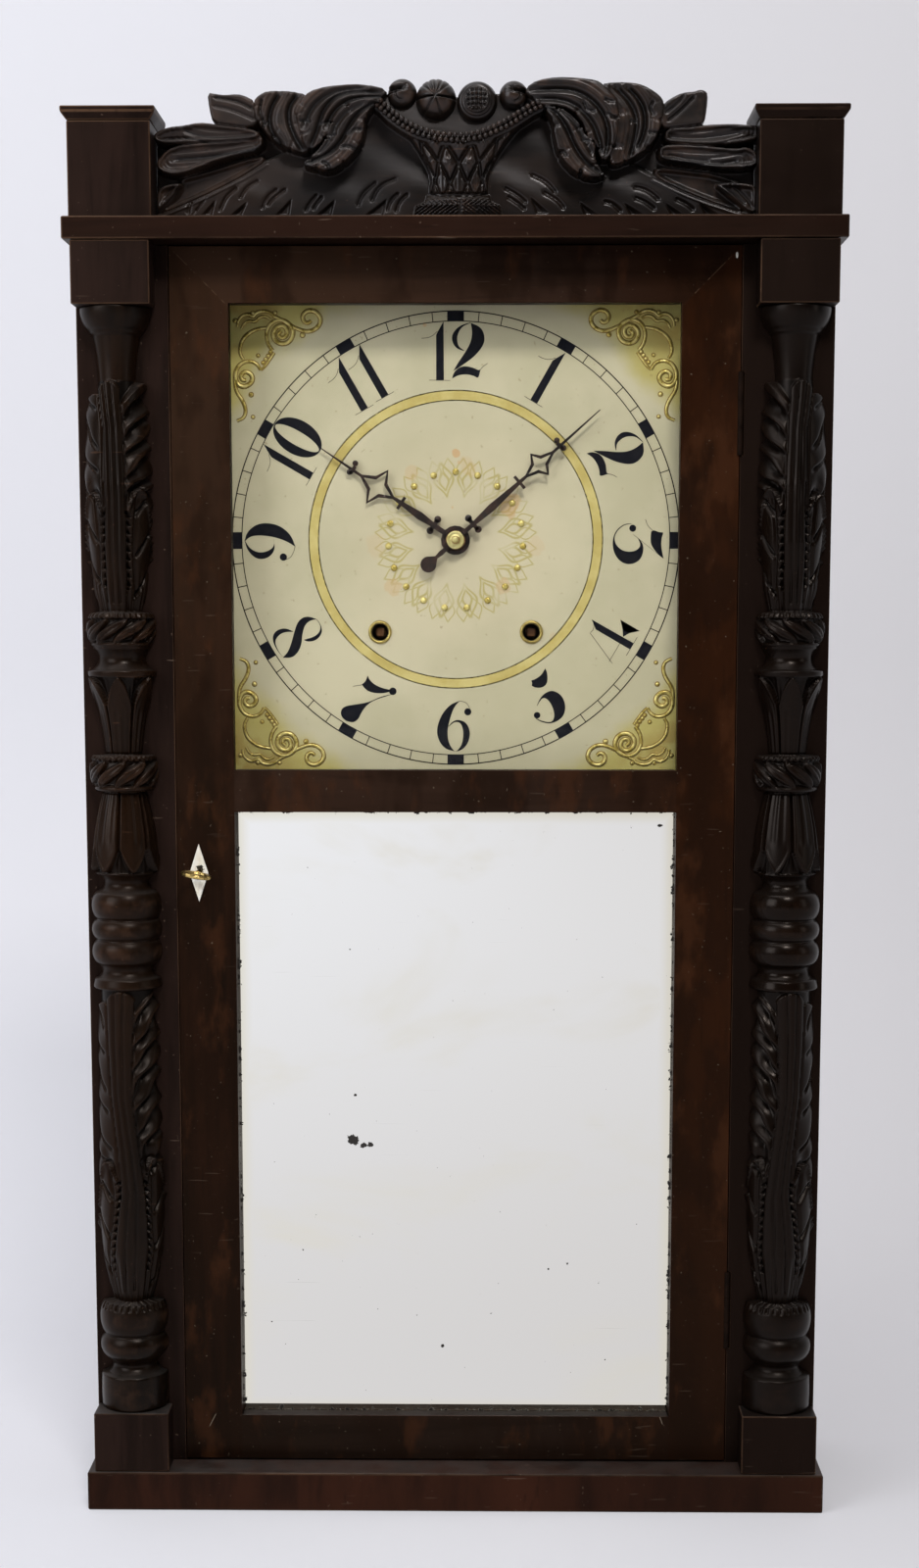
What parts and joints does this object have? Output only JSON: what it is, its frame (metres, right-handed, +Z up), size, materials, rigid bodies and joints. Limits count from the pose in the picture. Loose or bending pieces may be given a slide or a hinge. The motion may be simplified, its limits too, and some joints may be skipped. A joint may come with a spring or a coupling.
{
  "type": "shelf clock",
  "caption": "Tall wooden column and splat shelf clock with carved half-columns, a carved crest, a painted dial behind glass, a looking glass below, and weight-driven wooden works.",
  "frame": {"origin": "centre of the underside of the base board", "axes": "+Z up; -Y is the front with the dial; +X to the right of a person facing the dial"},
  "size_m": [0.47, 0.1411, 0.8867],
  "materials": {
    "veneer": "dark red-brown mahogany veneer under old shellac, satin",
    "carved_wood": "carved and turned wood, nearly black-brown old varnish, worn glossy on the high spots",
    "pine": "bare old pine",
    "cherry": "plain turned cherry and oak of the works",
    "painted_dial": "cream painted board with black numbers, gilt rings and raised gilt corner ornament",
    "brass": "tarnished brass",
    "iron": "dark brown-black iron",
    "bone": "polished bone",
    "clear_glass": "thin old window glass",
    "looking_glass": "old silvered glass with dark specks at the edges",
    "cord": "twisted flax cord"
  },
  "bodies": {
    "case": {"base_board": "veneer", "side_board_left": "veneer", "side_board_right": "veneer", "back_board": "pine", "cornice_board": "veneer", "front_stile_left": "veneer", "front_stile_right": "veneer", "column_left": "carved_wood", "column_right": "carved_wood", "capital_block_left": "veneer", "capital_block_right": "veneer", "plinth_block_left": "veneer", "plinth_block_right": "veneer", "chimney_block_left": "veneer", "chimney_block_right": "veneer", "chimney_cap_left": "veneer", "chimney_cap_right": "veneer", "crest_splat": "carved_wood", "lower_hinge_case_leaf": "brass", "upper_hinge_case_leaf": "brass", "dial_board": "painted_dial", "front_plate": "cherry", "back_plate": "cherry", "bell": "iron", "time_cord_run": "cord", "strike_cord_run": "cord", "time_cord_drop": "cord", "strike_cord_drop": "cord"},
    "door": {"door_lock_stile": "veneer", "door_hinge_stile": "veneer", "door_top_rail": "veneer", "door_middle_rail": "veneer", "door_bottom_rail": "veneer", "dial_glass": "clear_glass", "mirror_glass": "looking_glass", "mirror_back_board": "pine", "escutcheon": "bone", "lock_case": "iron", "lower_hinge_door_leaf": "brass", "upper_hinge_door_leaf": "brass"},
    "key": {"door_key": "brass"},
    "bolt": {"lock_bolt": "iron"},
    "minute_arbor": {"minute_hand": "iron", "hand_washer": "brass", "centre_wheel": "cherry"},
    "hour_arbor": {"hour_hand": "iron", "hour_wheel": "cherry"},
    "motion_wheel": {"minute_wheel": "cherry"},
    "great_wheel": {"time_great_wheel": "cherry"},
    "third_arbor": {"third_wheel": "cherry"},
    "escape_arbor": {"escape_wheel": "brass"},
    "verge": {"verge": "iron"},
    "pendulum": {"pendulum": "brass"},
    "time_winding": {"time_drum": "cherry"},
    "time_driving_weight": {"time_weight": "iron"},
    "time_guide": {"time_pulley": "cherry"},
    "strike_winding": {"strike_drum": "cherry"},
    "strike_driving_weight": {"strike_weight": "iron"},
    "strike_guide": {"strike_pulley": "cherry"},
    "hammer": {"strike_hammer": "iron"}
  },
  "joints": [
    {"name": "door_swing", "type": "hinge", "parent": "case", "child": "door", "pos_m": [0.17425, -0.046, 0.4], "axis": [0, 0, 1], "range_deg": [0, 105]},
    {"name": "key_turn", "type": "hinge", "parent": "door", "child": "key", "pos_m": [-0.1607, -0.054, 0.408], "axis": [0, 1, 0], "range_deg": [0, 90]},
    {"name": "bolt_slide", "type": "slide", "parent": "door", "child": "bolt", "axis": [-1, 0, 0], "range_m": [0, 0.006]},
    {"name": "minute_turn", "type": "hinge", "parent": "case", "child": "minute_arbor", "pos_m": [0, -0.024, 0.6148], "axis": [0, 1, 0], "continuous": true},
    {"name": "hour_turn", "type": "hinge", "parent": "case", "child": "hour_arbor", "pos_m": [0, -0.022, 0.6148], "axis": [0, 1, 0], "continuous": true},
    {"name": "motion_wheel_turn", "type": "hinge", "parent": "case", "child": "motion_wheel", "pos_m": [0.02, -0.006, 0.6148], "axis": [0, 1, 0], "continuous": true},
    {"name": "great_wheel_turn", "type": "hinge", "parent": "case", "child": "great_wheel", "pos_m": [0.0477, 0.0105, 0.5578], "axis": [0, 1, 0], "continuous": true},
    {"name": "third_turn", "type": "hinge", "parent": "case", "child": "third_arbor", "pos_m": [0.00499, 0.0205, 0.65348], "axis": [0, 1, 0], "continuous": true},
    {"name": "escape_turn", "type": "hinge", "parent": "case", "child": "escape_arbor", "pos_m": [-0.026, -0.002, 0.6718], "axis": [0, 1, 0], "continuous": true},
    {"name": "pendulum_swing", "type": "hinge", "parent": "case", "child": "pendulum", "pos_m": [-0.026, -0.009, 0.7218], "axis": [0, 1, 0], "range_deg": [-3, 3]},
    {"name": "verge_rock", "type": "hinge", "parent": "case", "child": "verge", "pos_m": [-0.026, -0.003, 0.7028], "axis": [0, 1, 0], "range_deg": [-4.5, 4.5]},
    {"name": "time_wind", "type": "hinge", "parent": "case", "child": "time_winding", "pos_m": [0.0477, 0.028, 0.5578], "axis": [0, 1, 0], "range_deg": [-785, 912]},
    {"name": "time_weight_fall", "type": "slide", "parent": "case", "child": "time_driving_weight", "axis": [0, 0, -1], "range_m": [-0.245, 0.285], "deforming": ["time_cord_drop"]},
    {"name": "time_pulley_turn", "type": "hinge", "parent": "case", "child": "time_guide", "pos_m": [0.169, 0.0281, 0.7978], "axis": [0, 1, 0], "range_deg": [-975, 1135]},
    {"name": "strike_wind", "type": "hinge", "parent": "case", "child": "strike_winding", "pos_m": [-0.0477, 0.028, 0.5578], "axis": [0, -1, 0], "range_deg": [-785, 912]},
    {"name": "strike_weight_fall", "type": "slide", "parent": "case", "child": "strike_driving_weight", "axis": [0, 0, -1], "range_m": [-0.245, 0.285], "deforming": ["strike_cord_drop"]},
    {"name": "strike_pulley_turn", "type": "hinge", "parent": "case", "child": "strike_guide", "pos_m": [-0.169, 0.0281, 0.7978], "axis": [0, -1, 0], "range_deg": [-975, 1135]},
    {"name": "hammer_lift", "type": "hinge", "parent": "case", "child": "hammer", "pos_m": [-0.008, 0.022, 0.499], "axis": [0, 1, 0], "range_deg": [0, 18], "stiffness_Nm_per_rad": 0.01, "springref_deg": -5.73}
  ],
  "couplings": [
    {"joint": "key_turn", "follows": "bolt_slide", "rad_per_m": 261.8},
    {"joint": "hour_turn", "follows": "minute_turn", "ratio": 0.083333},
    {"joint": "motion_wheel_turn", "follows": "minute_turn", "ratio": -0.33333},
    {"joint": "great_wheel_turn", "follows": "minute_turn", "ratio": -0.16667},
    {"joint": "third_turn", "follows": "minute_turn", "ratio": -9},
    {"joint": "escape_turn", "follows": "minute_turn", "ratio": 81},
    {"joint": "verge_rock", "follows": "pendulum_swing", "ratio": 1.4524},
    {"joint": "time_wind", "follows": "time_weight_fall", "rad_per_m": 55.556},
    {"joint": "time_pulley_turn", "follows": "time_weight_fall", "rad_per_m": 68.966},
    {"joint": "strike_wind", "follows": "strike_weight_fall", "rad_per_m": 55.556},
    {"joint": "strike_pulley_turn", "follows": "strike_weight_fall", "rad_per_m": 68.966}
  ]
}
